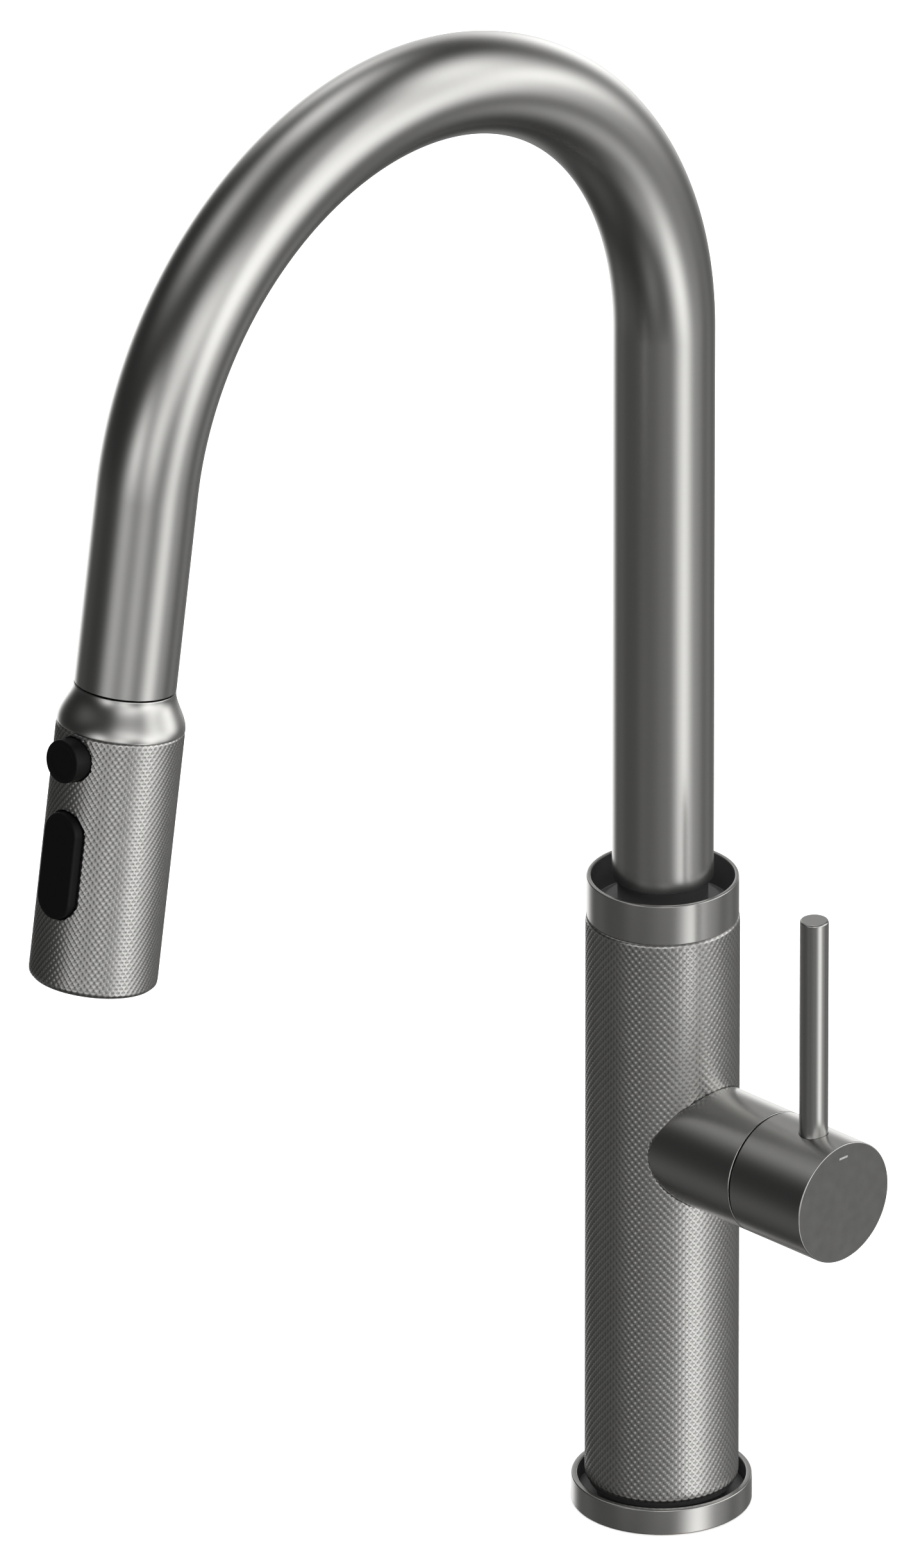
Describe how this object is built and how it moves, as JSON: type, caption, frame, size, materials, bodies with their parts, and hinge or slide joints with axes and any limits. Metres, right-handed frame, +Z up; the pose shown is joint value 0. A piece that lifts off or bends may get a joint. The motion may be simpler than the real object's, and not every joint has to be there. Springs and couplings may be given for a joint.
{
  "type": "pull-down kitchen faucet",
  "caption": "Single-lever kitchen faucet: knurled column, swivelling high-arc spout and a pull-down spray head with black keys.",
  "frame": {"origin": "centre of the deck face, on the underside of the base ring", "axes": "+Z up out of the worktop, -Y towards the sink along the spout, +X along the lever's axis"},
  "size_m": [0.097, 0.2639, 0.5465],
  "materials": {
    "brushed_gunmetal": "fine brushed, dark grey, lines round the tubes",
    "knurled_gunmetal": "fine diamond knurl, dark grey",
    "dark_neck": "dark turned steel",
    "brass": "machined",
    "steel": "plain stainless",
    "rubber": "matt black",
    "ceramic": "lapped white ceramic",
    "white_plastic": "moulded",
    "grey_plastic": "moulded, dark grey",
    "black_plastic": "moulded, satin black",
    "braided_hose": "woven nylon braid",
    "cap_cover": "painted to match the cap",
    "mark": "light inlay"
  },
  "bodies": {
    "column": {"deck_gasket": "rubber", "base_ring": "brushed_gunmetal", "valve_body": "dark_neck", "body_sleeve": "knurled_gunmetal", "top_collar": "brushed_gunmetal", "mounting_shank": "brass", "rubber_washer": "rubber", "steel_washer": "steel", "mounting_nut": "brass", "jack_screws": "steel", "cartridge_housing": "brushed_gunmetal", "cartridge_shell": "white_plastic", "cartridge_base": "white_plastic", "port_seals": "rubber", "fixed_disc": "ceramic", "cartridge_nut": "brass", "lower_hose": "braided_hose", "hose_tail": "brass"},
    "spout": {"spout_tube": "brushed_gunmetal", "spout_neck": "dark_neck", "neck_o_rings": "rubber", "bearing_rings": "white_plastic", "thrust_ring": "white_plastic", "spout_clip": "steel", "docking_bush": "grey_plastic", "spray_hose": "braided_hose"},
    "hose_end": {"hose_ferrule": "steel", "hose_stem": "brass", "inlet_o_ring": "rubber"},
    "spray_head": {"head_collar": "brushed_gunmetal", "head_grip": "knurled_gunmetal", "waterway": "grey_plastic", "stem_clip": "steel", "check_valve": "white_plastic", "pause_spring": "steel", "diffuser": "white_plastic", "nozzle_plate": "grey_plastic", "spray_nozzles": "rubber", "aerator": "grey_plastic", "plate_seal": "rubber"},
    "pause_key": {"pause_button": "black_plastic", "pause_plunger": "steel"},
    "mode_key": {"mode_button": "black_plastic", "rocker_pin": "steel"},
    "diverter": {"diverter_spool": "brass", "spool_o_rings": "rubber"},
    "handle": {"handle_cap": "brushed_gunmetal", "lever_rod": "brushed_gunmetal", "cartridge_stem": "brass", "moving_disc": "ceramic", "stem_o_ring": "rubber", "grub_screw": "steel", "screw_cover": "cap_cover", "index_mark": "mark"}
  },
  "joints": [
    {"name": "spout_swivel", "type": "hinge", "parent": "column", "child": "spout", "pos_m": [0, 0, 0.16], "axis": [0, 0, 1], "continuous": true},
    {"name": "pull_down", "type": "slide", "parent": "spout", "child": "hose_end", "axis": [0, -0.1513, -0.9885], "range_m": [0, 0.2], "deforming": ["spray_hose"]},
    {"name": "head_turn", "type": "hinge", "parent": "hose_end", "child": "spray_head", "pos_m": [0, -0.20682, 0.31613], "axis": [0, -0.1513, -0.9885], "continuous": true},
    {"name": "pause_press", "type": "slide", "parent": "spray_head", "child": "pause_key", "axis": [0, 0.9885, -0.1513], "range_m": [0, 0.002], "stiffness_N_per_m": 900, "deforming": ["pause_spring"]},
    {"name": "mode_rock", "type": "hinge", "parent": "spray_head", "child": "mode_key", "pos_m": [0, -0.23036, 0.27006], "axis": [1, 0, 0], "range_deg": [-3.5, 3.5]},
    {"name": "diverter_slide", "type": "slide", "parent": "spray_head", "child": "diverter", "axis": [0, 0.9885, -0.1513], "range_m": [-0.0005, 0.0005], "stiffness_N_per_m": 300},
    {"name": "handle_turn", "type": "hinge", "parent": "column", "child": "handle", "pos_m": [0.043, 0, 0.1138], "axis": [1, 0, 0], "range_deg": [0, 100]}
  ]
}
